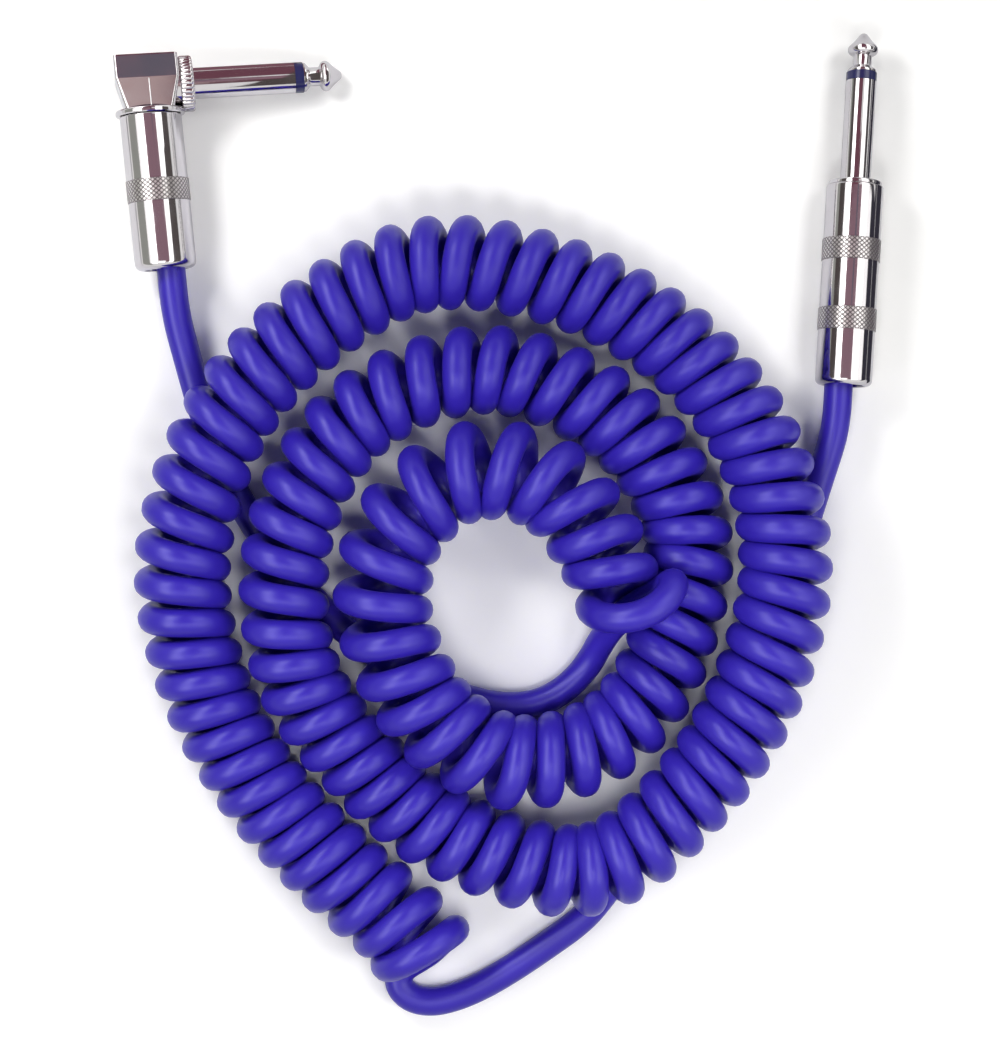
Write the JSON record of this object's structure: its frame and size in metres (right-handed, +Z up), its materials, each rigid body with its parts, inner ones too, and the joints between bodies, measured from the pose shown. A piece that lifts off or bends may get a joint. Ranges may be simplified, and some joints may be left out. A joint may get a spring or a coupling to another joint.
{
  "type": "coiled instrument cable",
  "caption": "Curly instrument cable lying in a spiral, with a straight jack plug on one end and a right-angle jack plug on the other; each barrel unscrews.",
  "frame": {"origin": "on the surface that the cable lies on, under the middle of the box round the two plugs", "axes": "+Z up, +X from the right-angle plug to the straight one, +Y the way the straight plug's tip points"},
  "size_m": [0.1608, 0.2059, 0.0325],
  "materials": {
    "nickel": "bright nickel plate",
    "brass": "satin",
    "insulator": "satin moulded plastic",
    "fibre": "matte",
    "liner_film": "satin film",
    "conductor": "satin",
    "screen": "twisted copper strands",
    "jacket": "satin flexible jacket"
  },
  "bodies": {
    "plugs_and_cord": {"straight_tip": "nickel", "straight_tip_ring": "insulator", "straight_sleeve": "nickel", "straight_inner_tube": "insulator", "straight_tip_rod": "brass", "straight_rear_washer": "fibre", "straight_tip_lug": "brass", "straight_cable_clamp": "nickel", "straight_core_wire": "conductor", "straight_screen_wire": "screen", "angle_tip": "nickel", "angle_tip_ring": "insulator", "angle_sleeve": "nickel", "angle_inner_tube": "insulator", "angle_tip_rod": "brass", "angle_collar_nut": "nickel", "angle_head": "nickel", "angle_rear_washer": "fibre", "angle_tip_lug": "brass", "angle_cable_clamp": "nickel", "angle_core_wire": "conductor", "angle_screen_wire": "screen", "cord_curls": "jacket", "straight_tail": "jacket", "angle_tail": "jacket"},
    "straight_liner": {"straight_insulating_liner": "liner_film"},
    "straight_barrel": {"straight_barrel": "nickel"},
    "angle_liner": {"angle_insulating_liner": "liner_film"},
    "angle_barrel": {"angle_barrel": "nickel"}
  },
  "joints": [
    {"name": "straight_barrel_travel", "type": "slide", "parent": "plugs_and_cord", "child": "straight_liner", "axis": [-0.0593, -0.9982, 0], "range_m": [0, 0.006]},
    {"name": "straight_barrel_turn", "type": "hinge", "parent": "straight_liner", "child": "straight_barrel", "pos_m": [0.0745, 0.0062, 0.00605], "axis": [-0.0593, -0.9982, 0], "range_deg": [0, 2880]},
    {"name": "angle_barrel_travel", "type": "slide", "parent": "plugs_and_cord", "child": "angle_liner", "axis": [0.0868, -0.9924, -0.0872], "range_m": [0, 0.006]},
    {"name": "angle_barrel_turn", "type": "hinge", "parent": "angle_liner", "child": "angle_barrel", "pos_m": [-0.0726, 0.0252, 0.0103], "axis": [0.0868, -0.9924, -0.0872], "range_deg": [0, 2880]}
  ],
  "couplings": [
    {"joint": "straight_barrel_travel", "follows": "straight_barrel_turn", "m_per_rad": 0.00011936},
    {"joint": "angle_barrel_travel", "follows": "angle_barrel_turn", "m_per_rad": 0.00011936}
  ]
}
